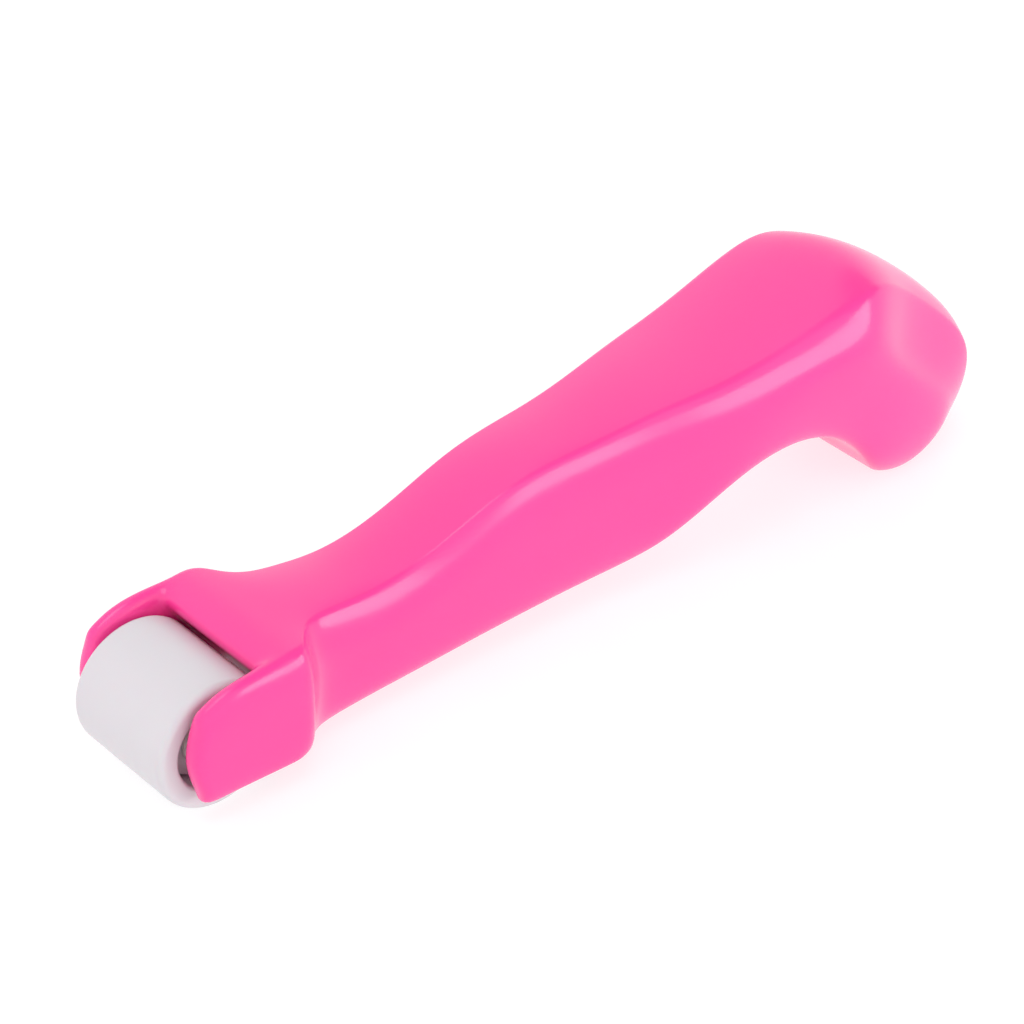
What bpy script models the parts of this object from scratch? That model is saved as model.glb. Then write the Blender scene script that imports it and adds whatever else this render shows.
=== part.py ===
"""Derma roller: a hooked hollow handle that ends in a fork, and a smooth drum turning on a steel pin.

Metres, +Z up. The tool lies as it rests on a table: on the drum at -X and on the tip of the tail's
hook at +X. The origin is the bottom centre of the tool's box. Outlines are given in millimetres,
measured back from the drum's axis and up from the table.
"""
import math

import bmesh
import bpy
from mathutils import Matrix, Vector

MM = 0.001

# Driving dimensions, millimetres
AXLE_X = -72.2
DRUM_RADIUS = 10.2
DRUM_HALF_WIDTH = 10.5
DRUM_WALL = 3.4
DRUM_EDGE = 1.2
DRUM_LIP = 0.6
FORK_HALF_WIDTH = 14.8
FORK_GAP_HALF = 11.0
PIN_RADIUS = 1.5
PIN_HALF_LENGTH = 13.2
BOSS_RADIUS = 3.6
BOSS_END = 9.3
BUSH_RADIUS = 2.9
BUSH_FLANGE = 0.7
BUSH_FLANGE_RADIUS = 4.2
BOSS_ROOT = 0.6
SOCKET_OVERCUT = 1.0
PIN_CHAMFER = 0.3
CAP_FACE = 7.0
CAP_THICKNESS = 2.0
HUB_RADIUS = 5.0
HUB_LENGTH = 4.6
WASHER_RADIUS = 3.2
WASHER_THICKNESS = 0.7
WALL = 1.8
GAP = 0.3
COVER_START = 25.0
COVER_END = 80.0
COVER_HALF_WIDTH = 5.4
POST_FLOOR = 10.0
POST_RADIUS = 3.2
SCREW_PLACES = {"front": 31.0, "middle": 52.5, "rear": 74.0}
SCREW_RADIUS = 1.1
SCREW_HEAD_RADIUS = 2.1
SCREW_HEAD_HEIGHT = 1.3
SCREW_LENGTH = 14.0
SCREW_TIP_LENGTH = 1.5
SCREW_TIP_RADIUS = 0.44
SCREW_CHAMFER = 0.3
SCREW_SINK = 0.4
BOSS_STEP = 0.1
SCREW_SLOT = (2.4, 0.6, 1.4)
SKIN_LEVELS = 1
ROUND_STEPS = 48
SMALL_STEPS = 24
RIM_STEPS = 5
LIP_STEPS = 3
HALF_CIRCLE_STEPS = 12
SHARP_ANGLE = 35

# Columns of the handle's cage, as parts of its half width, from the middle out
COLUMNS = (0.0, 0.33, 0.6, 0.8)

# The outermost column lies at this part of the width inside the rounded edge
COLUMN_LIMIT = 0.9

# Sections of the handle from the fork's web back to the hook's tip: underside x, z; top x, z;
# half widths low, middle and high; crown of the top; edge radii low and high
SECTIONS = (
    (10.2, 4.1, 8.8, 22.5, 14.8, 14.8, 14.8, 0.3, 1.0, 1.5),
    (11.6, 4.0, 11.0, 23.0, 14.8, 14.8, 14.8, 0.4, 1.2, 1.5),
    (13.8, 3.8, 13.7, 22.9, 14.5, 14.8, 14.7, 0.6, 2.0, 1.5),
    (15.4, 2.8, 15.5, 22.9, 12.0, 12.2, 12.0, 0.8, 2.0, 2.0),
    (18.5, 2.4, 18.5, 22.8, 9.3, 9.5, 9.7, 1.0, 2.0, 2.0),
    (23.5, 2.4, 23.5, 22.3, 8.6, 8.8, 9.2, 1.0, 2.0, 2.0),
    (30.5, 2.8, 30.5, 21.6, 8.5, 8.7, 8.9, 1.0, 2.0, 2.0),
    (38.5, 3.1, 38.5, 22.9, 8.4, 8.6, 8.8, 1.0, 2.0, 2.0),
    (46.5, 3.6, 46.5, 25.7, 8.4, 8.6, 8.9, 1.0, 2.0, 2.0),
    (54.5, 4.1, 54.5, 28.9, 8.5, 8.8, 9.0, 1.0, 2.0, 2.0),
    (62.5, 4.6, 62.5, 30.2, 8.7, 9.1, 9.3, 1.0, 2.0, 2.0),
    (70.5, 5.1, 70.5, 30.6, 9.1, 9.6, 9.8, 1.0, 2.0, 2.0),
    (78.0, 5.6, 78.5, 31.7, 9.7, 10.3, 10.6, 1.1, 2.0, 2.0),
    (84.0, 7.0, 86.0, 32.8, 10.8, 11.6, 11.8, 1.2, 2.0, 2.0),
    (89.5, 10.4, 92.5, 33.5, 12.2, 12.8, 12.9, 1.3, 2.0, 2.0),
    (95.5, 14.0, 99.0, 34.6, 13.2, 13.8, 13.5, 1.5, 2.0, 2.0),
    (102.0, 16.3, 107.0, 36.6, 13.6, 14.4, 14.1, 1.7, 2.0, 2.0),
    (109.5, 16.8, 117.0, 39.8, 13.8, 15.0, 15.6, 2.2, 2.0, 2.7),
    (116.0, 15.0, 126.5, 42.0, 13.9, 15.7, 16.2, 2.8, 2.0, 3.5),
    (121.0, 11.8, 137.5, 34.6, 13.9, 15.4, 12.1, 3.2, 2.0, 4.0),
    (124.5, 8.2, 147.9, 25.8, 13.8, 14.8, 10.7, 3.2, 2.0, 4.0),
    (127.0, 5.0, 157.2, 15.2, 13.2, 13.8, 10.4, 2.2, 2.0, 4.0),
    (129.7, 1.8, 152.2, 5.5, 11.6, 12.4, 9.6, 1.0, 2.0, 2.0),
    (132.3, 0.0, 140.3, 0.0, 9.2, 10.0, 9.0, 0.3, 1.5, 1.2),
)

# The web's hollow front, which clears the drum: x, z of its lip, middle and foot
WEB_FRONT = ((4.7, 20.6), (12.1, 13.5), (11.2, 5.6))

# Sections of a cheek of the fork, from the web forwards: x low, middle and high; z low and high;
# half width over the outer face, which turns in at the front
CHEEK_SECTIONS = (
    (3.2, 3.2, 3.0, 4.0, 22.1, 14.8),
    (-1.0, -1.0, -1.0, 4.0, 21.4, 14.8),
    (-3.3, -4.2, -3.3, 3.9, 20.3, 14.8),
    (-5.4, -7.7, -5.6, 4.3, 19.1, 14.7),
)
CHEEK_EDGE = 1.2

# The upper edge reaches further down the side than in over the top, by this much
EDGE_DROP = 2.3
CHEEK_TOP_INNER = 12.2
CHEEK_LIP = 1.8

# The hollow: the first and last of SECTIONS that it runs through
CAVITY_FIRST = 4
CAVITY_LAST = 19
POST_TOP = 45.0
MOUTH_TOP = 8.6
CUT_BELOW = -5.0


# ---- modelling
def clear_scene():
    for old in list(bpy.data.objects):
        bpy.data.objects.remove(old, do_unlink=True)


def make_collection(name):
    collection = bpy.data.collections.new(name)
    bpy.context.scene.collection.children.link(collection)
    return collection


def make_material(name, colour, roughness, metallic=0.0):
    material = bpy.data.materials.new(name)
    material.use_nodes = True
    shader = material.node_tree.nodes["Principled BSDF"]
    shader.inputs["Base Color"].default_value = (*colour, 1.0)
    shader.inputs["Roughness"].default_value = roughness
    shader.inputs["Metallic"].default_value = metallic
    return material


def add_object(name, mesh, collection, material=None):
    item = bpy.data.objects.new(name, mesh)
    collection.objects.link(item)
    if material is not None:
        mesh.materials.append(material)
    return item


def add_cutter(name, mesh, collection):
    item = add_object(name, mesh, collection)
    item.hide_render = True
    item.display_type = "WIRE"
    return item


def place(x, y, z):
    """A point given in millimetres from the drum's axis, in the tool's own frame."""
    return Vector(((x + AXLE_X) * MM, y * MM, z * MM))


def mesh_from(name, points, faces):
    mesh = bpy.data.meshes.new(name)
    mesh.from_pydata([place(*point) for point in points], [], faces)
    mesh.validate()
    return mesh


def add_boolean(item, cutter, operation):
    modifier = item.modifiers.new(cutter.name, "BOOLEAN")
    modifier.operation = operation
    modifier.object = cutter
    modifier.solver = "EXACT"


def add_mirror(item):
    modifier = item.modifiers.new("mirror", "MIRROR")
    modifier.use_axis = (False, True, False)
    modifier.use_clip = True
    modifier.merge_threshold = 0.00001


def add_subdivision(item, levels):
    modifier = item.modifiers.new("subdivision", "SUBSURF")
    modifier.levels = levels
    modifier.render_levels = levels


class Cage:
    """Points and faces of a half cage, built strip by strip."""

    def __init__(self):
        self.points = []
        self.faces = []

    def add(self, *point):
        self.points.append(point)
        return len(self.points) - 1

    def strip(self, first, second, closed=False):
        count = len(first)
        for i in range(count if closed else count - 1):
            j = (i + 1) % count
            self.faces.append((first[i], first[j], second[j], second[i]))


def section_points(section):
    """Half a section of the handle, from the middle of its underside round to the middle of its top."""
    low_x, low_z, top_x, top_z, low, middle, high, crown, low_edge, high_edge = section
    start = Vector((low_x, low_z))
    height = (Vector((top_x, top_z)) - start).length
    up = (Vector((top_x, top_z)) - start) / height

    def point(y, along):
        spot = start + up * along
        return (spot.x, y, spot.y)

    def top_height(y):
        return height - crown * (y / (high - high_edge)) ** 2

    def spaced(half_width, edge):
        """Columns across a width, the outermost kept inside its rounded edge."""
        outermost = min(COLUMNS[-1] * half_width, COLUMN_LIMIT * (half_width - edge))
        return [column / COLUMNS[-1] * outermost for column in COLUMNS]

    underside = [point(y, 0.0) for y in spaced(low, low_edge)]
    side = [
        point(low - low_edge, 0.0),
        point(low, low_edge),
        point(middle, height / 2),
        point(high, height - crown - high_edge * EDGE_DROP),
        point(high - high_edge, height - crown),
    ]
    top = [point(y, top_height(y)) for y in reversed(spaced(high, high_edge))]
    return underside + side + top


def cheek_points(section):
    """A section of a cheek: round its outside from the bottom to the top, then down its inside."""
    low_x, middle_x, high_x, low, high, outer = section
    middle = (low + high) / 2
    return [
        (low_x, COLUMNS[3] * outer, low),
        (low_x, outer - CHEEK_EDGE, low),
        (low_x, outer, low + CHEEK_EDGE),
        (middle_x, outer, middle),
        (high_x, outer, high - CHEEK_EDGE * EDGE_DROP),
        (high_x, outer - CHEEK_EDGE, high),
        (high_x, CHEEK_TOP_INNER, high),
        (high_x, FORK_GAP_HALF, high - CHEEK_LIP),
        (middle_x, FORK_GAP_HALF, middle),
        (low_x, FORK_GAP_HALF, low + CHEEK_EDGE),
    ]


def handle_cage():
    """Half of the handle's outside: sections, the hook's tip, the web's front and one cheek."""
    cage = Cage()
    rings = [[cage.add(*point) for point in section_points(section)] for section in SECTIONS]
    for ring, following in zip(rings, rings[1:]):
        cage.strip(ring, following)

    count = len(COLUMNS) + 1
    tip = rings[-1]
    cage.strip(tip[:count], tip[:-count - 1:-1])
    cage.faces.append((tip[count - 1],) + tuple(tip[count:-count + 1]))

    front = rings[0]
    inner = len(COLUMNS)
    rows = [front[:-inner - 1:-1]]
    for x, z in WEB_FRONT:
        across = [column * FORK_HALF_WIDTH for column in COLUMNS[:-1]] + [FORK_GAP_HALF]
        rows.append([cage.add(x, y, z) for y in across])
    rows.append(front[:inner])
    for row, following in zip(rows, rows[1:]):
        cage.strip(row, following)

    loop = list(front[inner - 1:-inner + 1]) + [row[-1] for row in rows[1:-1]]
    for section in CHEEK_SECTIONS:
        following = [cage.add(*point) for point in cheek_points(section)]
        cage.strip(following, loop, closed=True)
        loop = following
    cage.strip([loop[0]] + loop[:5:-1], loop[1:6])
    return cage


def cavity_cage():
    """Half of the handle's hollow: its sections a wall's thickness inside the skin."""
    cage = Cage()
    rings = []
    for section in SECTIONS[CAVITY_FIRST:CAVITY_LAST + 1]:
        low_x, low_z, top_x, top_z, low, middle, high, crown, low_edge, high_edge = section
        start = Vector((low_x, low_z))
        height = (Vector((top_x, top_z)) - start).length
        up = (Vector((top_x, top_z)) - start) / height
        ceiling = height - crown - WALL
        outline = (
            (0.0, WALL),
            (low - WALL - low_edge, WALL),
            (low - WALL, WALL + low_edge),
            (middle - WALL, height / 2),
            (high - WALL, ceiling - high_edge * EDGE_DROP),
            (high - WALL - high_edge, ceiling),
            (0.0, ceiling),
        )
        ring = []
        for y, along in outline:
            spot = start + up * along
            ring.append(cage.add(spot.x, y, spot.y))
        rings.append(ring)
    for ring, following in zip(rings, rings[1:]):
        cage.strip(ring, following)
    for ring, turned in ((rings[0], True), (rings[-1], False)):
        faces = [(ring[0], ring[1], ring[5], ring[6]), tuple(ring[1:6])]
        cage.faces.extend(tuple(reversed(face)) if turned else face for face in faces)
    return cage


def underside(x):
    """Height of the handle's underside at a distance from the drum's axis."""
    for before, after in zip(SECTIONS, SECTIONS[1:]):
        if before[0] <= x <= after[0]:
            share = (x - before[0]) / (after[0] - before[0])
            return before[1] + share * (after[1] - before[1])
    raise ValueError(x)


def turned_mesh(name, profile, steps=ROUND_STEPS, closed=False):
    """A turned piece about Z; the profile of (radius, height) runs down its outer side."""
    mesh = bpy.data.meshes.new(name)
    points = [(radius * MM, 0.0, height * MM) for radius, height in profile]
    edges = [(i, i + 1) for i in range(len(points) - 1)]
    if closed:
        edges.append((len(points) - 1, 0))
    mesh.from_pydata(points, edges, [])
    guide = bpy.data.objects.new(name, mesh)
    bpy.context.scene.collection.objects.link(guide)
    screw = guide.modifiers.new("screw", "SCREW")
    screw.steps = steps
    screw.render_steps = steps
    screw.use_merge_vertices = True
    screw.merge_threshold = 0.000001
    screw.use_smooth_shade = True
    bpy.context.view_layer.update()
    shape = bpy.data.meshes.new_from_object(guide.evaluated_get(bpy.context.evaluated_depsgraph_get()))
    shape.name = name
    bpy.data.objects.remove(guide, do_unlink=True)
    shape.set_sharp_from_angle(angle=math.radians(SHARP_ANGLE))
    return shape


def upright(x, z=0.0):
    """Where a piece turned about Z stands on the tool's middle plane."""
    return Matrix.Translation(place(x, 0.0, z))


def along_y(y, side):
    """Where a piece turned about Z lies on the drum's axis, its top towards +Y (side 1) or -Y (-1)."""
    return Matrix.Translation(place(0.0, y, DRUM_RADIUS)) @ Matrix.Rotation(-side * math.pi / 2, 4, "X")


def joined_mesh(name, placed):
    """One mesh of separate closed shapes, from (mesh, matrix) pairs."""
    work = bmesh.new()
    for mesh, matrix in placed:
        shape = mesh.copy()
        shape.transform(matrix)
        work.from_mesh(shape)
        bpy.data.meshes.remove(shape)
    mesh = bpy.data.meshes.new(name)
    work.to_mesh(mesh)
    work.free()
    return mesh


def arc(radius, middle_radius, middle_height, start, end, steps):
    """Points of a rounded edge of a profile, with its angles in degrees from the radial direction."""
    points = []
    for i in range(steps + 1):
        angle = math.radians(start + (end - start) * i / steps)
        points.append((middle_radius + radius * math.cos(angle), middle_height + radius * math.sin(angle)))
    return points


def stadium_mesh(name, start, end, half_width, bottom, top):
    """An upright prism with round ends, from an outline of two half circles."""
    outline = []
    for centre, first in ((end - half_width, -90), (start + half_width, 90)):
        for i in range(HALF_CIRCLE_STEPS + 1):
            angle = math.radians(first + 180 * i / HALF_CIRCLE_STEPS)
            outline.append((centre + half_width * math.cos(angle), half_width * math.sin(angle)))
    points = [(x, y, bottom) for x, y in outline] + [(x, y, top) for x, y in outline]
    size = len(outline)
    faces = [tuple(range(size - 1, -1, -1)), tuple(range(size, 2 * size))]
    faces += [(i, (i + 1) % size, size + (i + 1) % size, size + i) for i in range(size)]
    return mesh_from(name, points, faces)


def make_skin(name, collection, material=None):
    cage = handle_cage()
    item = add_object(name, mesh_from(name, cage.points, cage.faces), collection, material)
    add_mirror(item)
    add_subdivision(item, SKIN_LEVELS)
    return item


def make_cavity(cutters):
    cage = cavity_cage()
    cavity = add_cutter("cut_cavity", mesh_from("cut_cavity", cage.points, cage.faces), cutters)
    add_mirror(cavity)
    profile = [(0.0, POST_TOP), (POST_RADIUS, POST_TOP), (POST_RADIUS, POST_FLOOR), (0.0, POST_FLOOR)]
    post = turned_mesh("post", profile, SMALL_STEPS)
    posts = joined_mesh("leave_posts", [(post, upright(x)) for x in SCREW_PLACES.values()])
    add_boolean(cavity, add_cutter("leave_posts", posts, cutters), "DIFFERENCE")
    return cavity


def make_holes(cutters):
    """Cuts the pin's sockets and the screws' stepped holes, which run up into the posts."""
    bore = [
        (0.0, PIN_HALF_LENGTH + GAP),
        (PIN_RADIUS + GAP, PIN_HALF_LENGTH + GAP),
        (PIN_RADIUS + GAP, BOSS_END - SOCKET_OVERCUT),
        (0.0, BOSS_END - SOCKET_OVERCUT),
    ]
    socket = turned_mesh("socket", bore, SMALL_STEPS)
    placed = [(socket, along_y(0.0, side)) for side in (-1, 1)]
    for x in SCREW_PLACES.values():
        base = underside(x) + SCREW_SINK
        step = base + SCREW_HEAD_HEIGHT + GAP
        tip = base + SCREW_LENGTH + GAP
        profile = [
            (0.0, tip),
            (SCREW_RADIUS + GAP, tip),
            (SCREW_RADIUS + GAP, step),
            (SCREW_HEAD_RADIUS + GAP, step),
            (SCREW_HEAD_RADIUS + GAP, CUT_BELOW),
            (0.0, CUT_BELOW),
        ]
        placed.append((turned_mesh("hole", profile, SMALL_STEPS), upright(x)))
    return add_cutter("cut_holes", joined_mesh("cut_holes", placed), cutters)


def make_shell(parts, cutters, material, cavity, holes):
    """The handle and fork: one hollow moulding with a mouth in its underside and bosses for the pin."""
    shell = make_skin("handle_shell", parts, material)
    add_boolean(shell, cavity, "DIFFERENCE")
    mouth = stadium_mesh("cut_mouth", COVER_START, COVER_END, COVER_HALF_WIDTH, CUT_BELOW, MOUTH_TOP)
    add_boolean(shell, add_cutter("cut_mouth", mouth, cutters), "DIFFERENCE")
    root = FORK_GAP_HALF + BOSS_ROOT
    profile = [(0.0, root), (BOSS_RADIUS, root), (BOSS_RADIUS, BOSS_END), (0.0, BOSS_END)]
    boss = turned_mesh("boss", profile, SMALL_STEPS)
    bosses = joined_mesh("join_bosses", [(boss, along_y(0.0, side)) for side in (-1, 1)])
    add_boolean(shell, add_cutter("join_bosses", bosses, cutters), "UNION")
    add_boolean(shell, holes, "DIFFERENCE")


def make_cover(parts, cutters, material, cavity, holes):
    """The plate in the handle's underside: the skin inside the mouth, less the hollow, with bosses."""
    skin = make_skin("guide_skin", cutters)
    skin.hide_render = True
    skin.display_type = "WIRE"
    plate = stadium_mesh(
        "underside_cover",
        COVER_START + GAP,
        COVER_END - GAP,
        COVER_HALF_WIDTH - GAP,
        CUT_BELOW,
        MOUTH_TOP,
    )
    cover = add_object("underside_cover", plate, parts, material)
    add_boolean(cover, skin, "INTERSECT")
    add_boolean(cover, cavity, "DIFFERENCE")
    add_boolean(cover, holes, "DIFFERENCE")
    placed = []
    top = POST_FLOOR - GAP
    bore = SCREW_RADIUS + GAP
    head_bore = SCREW_HEAD_RADIUS + GAP + BOSS_STEP
    for x in SCREW_PLACES.values():
        foot = underside(x) + WALL / 2
        step = underside(x) + SCREW_SINK + SCREW_HEAD_HEIGHT + GAP
        profile = [
            (bore, top),
            (POST_RADIUS, top),
            (POST_RADIUS, foot),
            (head_bore, foot),
            (head_bore, step),
            (bore, step),
        ]
        placed.append((turned_mesh("cover_boss", profile, SMALL_STEPS, closed=True), upright(x)))
    bosses = add_cutter("join_cover_bosses", joined_mesh("join_cover_bosses", placed), cutters)
    add_boolean(cover, bosses, "UNION")


def box_mesh(name, x, y, z):
    """A box about its own middle, from its sizes."""
    mesh = bpy.data.meshes.new(name)
    work = bmesh.new()
    bmesh.ops.create_cube(work, size=1.0)
    bmesh.ops.scale(work, vec=Vector((x, y, z)) * MM, verts=work.verts)
    work.to_mesh(mesh)
    work.free()
    return mesh


def make_screws(parts, cutters, material):
    """Cross-head screws, heads down in the cover."""
    profile = [
        (0.0, SCREW_LENGTH),
        (SCREW_TIP_RADIUS, SCREW_LENGTH),
        (SCREW_RADIUS, SCREW_LENGTH - SCREW_TIP_LENGTH),
        (SCREW_RADIUS, SCREW_HEAD_HEIGHT),
        (SCREW_HEAD_RADIUS, SCREW_HEAD_HEIGHT),
        (SCREW_HEAD_RADIUS, SCREW_CHAMFER),
        (SCREW_HEAD_RADIUS - SCREW_CHAMFER, 0.0),
        (0.0, 0.0),
    ]
    mesh = turned_mesh("screw", profile, SMALL_STEPS)
    for label, x in SCREW_PLACES.items():
        screw = add_object("cover_screw_" + label, mesh.copy(), parts, material)
        screw.matrix_world = upright(x, underside(x) + SCREW_SINK)
        for turn, name in ((0.0, "cut_slot_long_"), (math.pi / 2, "cut_slot_wide_")):
            slot = add_cutter(name + label, box_mesh("slot", *SCREW_SLOT), cutters)
            slot.matrix_world = screw.matrix_world @ Matrix.Rotation(turn, 4, "Z")
            add_boolean(screw, slot, "DIFFERENCE")


def make_pin(parts, material):
    end = PIN_HALF_LENGTH
    profile = [
        (0.0, end),
        (PIN_RADIUS - PIN_CHAMFER, end),
        (PIN_RADIUS, end - PIN_CHAMFER),
        (PIN_RADIUS, PIN_CHAMFER - end),
        (PIN_RADIUS - PIN_CHAMFER, -end),
        (0.0, -end),
    ]
    pin = add_object("axle_pin", turned_mesh("axle_pin", profile, SMALL_STEPS), parts, material)
    pin.matrix_world = along_y(0.0, 1)


def make_sleeve(parts, material):
    """The drum's smooth outer tube, rounded at both rims."""
    width = DRUM_HALF_WIDTH
    inner = DRUM_RADIUS - DRUM_WALL
    centre = width - DRUM_EDGE
    lip = width - DRUM_LIP
    profile = arc(DRUM_EDGE, DRUM_RADIUS - DRUM_EDGE, centre, 90, 0, RIM_STEPS)
    profile += arc(DRUM_EDGE, DRUM_RADIUS - DRUM_EDGE, -centre, 0, -90, RIM_STEPS)
    profile += arc(DRUM_LIP, inner + DRUM_LIP, -lip, -90, -180, LIP_STEPS)
    profile += arc(DRUM_LIP, inner + DRUM_LIP, lip, 180, 90, LIP_STEPS)
    sleeve = add_object("drum_sleeve", turned_mesh("drum_sleeve", profile, closed=True), parts, material)
    sleeve.matrix_world = along_y(0.0, 1)


def make_drum_ends(parts, material, bush_material, washer_material):
    """A cap with its hub, the bush in it and the washer outside it, at each end of the drum."""
    rim = DRUM_RADIUS - DRUM_WALL - GAP
    bore = BUSH_RADIUS + GAP
    cap = [
        (bore, 0.0),
        (rim, 0.0),
        (rim, -CAP_THICKNESS),
        (HUB_RADIUS, -CAP_THICKNESS),
        (HUB_RADIUS, -HUB_LENGTH),
        (bore, -HUB_LENGTH),
    ]
    bush = [
        (PIN_RADIUS + GAP, GAP + BUSH_FLANGE),
        (BUSH_FLANGE_RADIUS, GAP + BUSH_FLANGE),
        (BUSH_FLANGE_RADIUS, GAP),
        (BUSH_RADIUS, GAP),
        (BUSH_RADIUS, -HUB_LENGTH),
        (PIN_RADIUS + GAP, -HUB_LENGTH),
    ]
    washer = [
        (PIN_RADIUS + GAP, WASHER_THICKNESS),
        (WASHER_RADIUS, WASHER_THICKNESS),
        (WASHER_RADIUS, 0.0),
        (PIN_RADIUS + GAP, 0.0),
    ]
    washer_place = CAP_FACE + 2 * GAP + BUSH_FLANGE
    pieces = (
        ("drum_end_cap_", cap, CAP_FACE, material, ROUND_STEPS),
        ("drum_bush_", bush, CAP_FACE, bush_material, SMALL_STEPS),
        ("thrust_washer_", washer, washer_place, washer_material, SMALL_STEPS),
    )
    for name, profile, distance, finish, steps in pieces:
        mesh = turned_mesh(name + "mesh", profile, steps, closed=True)
        for label, side in (("left", -1), ("right", 1)):
            piece = add_object(name + label, mesh.copy(), parts, finish)
            piece.matrix_world = along_y(side * distance, side)


def main():
    clear_scene()
    parts = make_collection("derma_roller")
    cutters = make_collection("cutters")
    pink = make_material("pink_plastic", (0.95, 0.09, 0.36), 0.28)
    white = make_material("drum_plastic", (0.78, 0.76, 0.78), 0.45)
    nylon = make_material("bush_plastic", (0.85, 0.84, 0.80), 0.5)
    steel = make_material("pin_steel", (0.62, 0.62, 0.64), 0.3, 1.0)
    cavity = make_cavity(cutters)
    holes = make_holes(cutters)
    make_shell(parts, cutters, pink, cavity, holes)
    make_cover(parts, cutters, pink, cavity, holes)
    make_screws(parts, cutters, steel)
    make_pin(parts, steel)
    make_sleeve(parts, white)
    make_drum_ends(parts, white, nylon, nylon)


main()
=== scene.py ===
"""Looks of the derma roller: fine surfaces, plastics, steel, studio and camera.

Metres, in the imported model's frame. Outlines are given in millimetres, measured back from the
drum's axis and up from the table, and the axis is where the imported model's pin lies.
"""

import math

import bmesh
import bpy
from mathutils import Matrix, Vector


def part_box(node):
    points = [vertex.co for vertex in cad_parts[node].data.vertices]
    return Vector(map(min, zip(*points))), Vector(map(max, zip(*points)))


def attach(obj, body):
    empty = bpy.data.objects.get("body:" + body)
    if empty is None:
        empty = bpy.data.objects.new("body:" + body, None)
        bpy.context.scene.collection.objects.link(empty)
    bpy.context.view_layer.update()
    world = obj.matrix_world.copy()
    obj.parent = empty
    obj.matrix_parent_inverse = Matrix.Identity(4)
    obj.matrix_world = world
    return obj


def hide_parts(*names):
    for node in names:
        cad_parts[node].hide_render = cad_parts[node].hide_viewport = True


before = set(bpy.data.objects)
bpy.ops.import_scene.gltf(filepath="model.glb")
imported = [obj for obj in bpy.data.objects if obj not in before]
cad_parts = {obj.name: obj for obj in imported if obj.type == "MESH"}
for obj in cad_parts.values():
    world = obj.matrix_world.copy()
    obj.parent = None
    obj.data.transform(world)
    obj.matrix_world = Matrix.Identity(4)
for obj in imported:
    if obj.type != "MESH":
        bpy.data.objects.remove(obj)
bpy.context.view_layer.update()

MM = 0.001
PIN_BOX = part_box("axle_pin")
SLEEVE_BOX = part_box("drum_sleeve")
AXLE_X = (PIN_BOX[0].x + PIN_BOX[1].x) / 2 / MM

# Sizes shared with the CAD model, millimetres
DRUM_RADIUS = (SLEEVE_BOX[1].z - SLEEVE_BOX[0].z) / 2 / MM
DRUM_HALF_WIDTH = (SLEEVE_BOX[1].y - SLEEVE_BOX[0].y) / 2 / MM
DRUM_WALL = 3.4
DRUM_EDGE = 1.2
DRUM_LIP = 0.6
FORK_HALF_WIDTH = 14.8
FORK_GAP_HALF = 11.0
PIN_RADIUS = 1.5
PIN_HALF_LENGTH = (PIN_BOX[1].y - PIN_BOX[0].y) / 2 / MM
BOSS_RADIUS = 3.6
BOSS_END = 9.3
BOSS_ROOT = 0.6
SOCKET_OVERCUT = 1.0
PIN_CHAMFER = 0.3
BUSH_RADIUS = 2.9
BUSH_FLANGE = 0.7
BUSH_FLANGE_RADIUS = 4.2
CAP_FACE = 7.0
CAP_THICKNESS = 2.0
HUB_RADIUS = 5.0
HUB_LENGTH = 4.6
WASHER_RADIUS = 3.2
WASHER_THICKNESS = 0.7
WALL = 1.8
GAP = 0.3
COVER_START = 25.0
COVER_END = 80.0
COVER_HALF_WIDTH = 5.4
POST_FLOOR = 10.0
POST_RADIUS = 3.2
SCREW_PLACES = {"front": 31.0, "middle": 52.5, "rear": 74.0}
SCREW_RADIUS = 1.1
SCREW_HEAD_RADIUS = 2.1
SCREW_HEAD_HEIGHT = 1.3
SCREW_LENGTH = 14.0
SCREW_SINK = 0.4
BOSS_STEP = 0.1

# Fine edges that the CAD model leaves sharp, millimetres
BOSS_ROUND = 0.3
TRIM_ROUND = 0.25
WASHER_ROUND = 0.15

# The screws' ringed threads and domed heads: lengths in millimetres, a thread's crest and foot as parts
# of its pitch, angles in degrees
THREAD_PITCH = 0.8
THREAD_COUNT = 14
THREAD_ROOT = 0.85
THREAD_START = 1.2
THREAD_CREST = 0.45
THREAD_FOOT = 0.9
TIP_RADIUS = 0.25
TIP_CHAMFER = 0.1
NECK_FILLET = 0.2
DOME_ROUND = 0.7
DOME_HEIGHT = 0.75
DOME_FLAT = 0.9
DOME_ANGLE = -75
SCREW_TURN = 17

# An arm of the screws' cross recess, millimetres: length, width and height of its bottom and mouth
RECESS_BOTTOM = (1.3, 0.42, 0.85)
RECESS_MOUTH = (2.6, 0.56, -0.5)

# Fineness: subdivision levels, steps of whole turns, half circles and rounded edges, and the widest
# angle between faces that is shaded smooth, in degrees
SKIN_LEVELS = 4
ROUND_STEPS = 128
SMALL_STEPS = 64
HALF_CIRCLE_STEPS = 32
RIM_STEPS = 12
LIP_STEPS = 8
DOME_STEPS = 6
TRIM_STEPS = 4
FINE_STEPS = 3
SHARP_ANGLE = 35
LOOK = "_look"

# The studio: angles in degrees, azimuths from +X towards +Y; luminances, where 1 is white; metres
TENT_LIGHT = 1.15
DARK_LIGHT = 0.35
DARK_AZIMUTH = -20.0
DARK_ELEVATION = 45.0
DARK_RADIUS = 35.0
DARK_BLUR = 6.0
FLOOR_GLOW = 0.72
FLOOR_SIZE = 4.0
FLOOR_GREYS = (0.33, 0.35)
FLOOR_MOTTLE = 60.0
LIGHTS_AIM = Vector((0.0, 0.0, 0.015))

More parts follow.
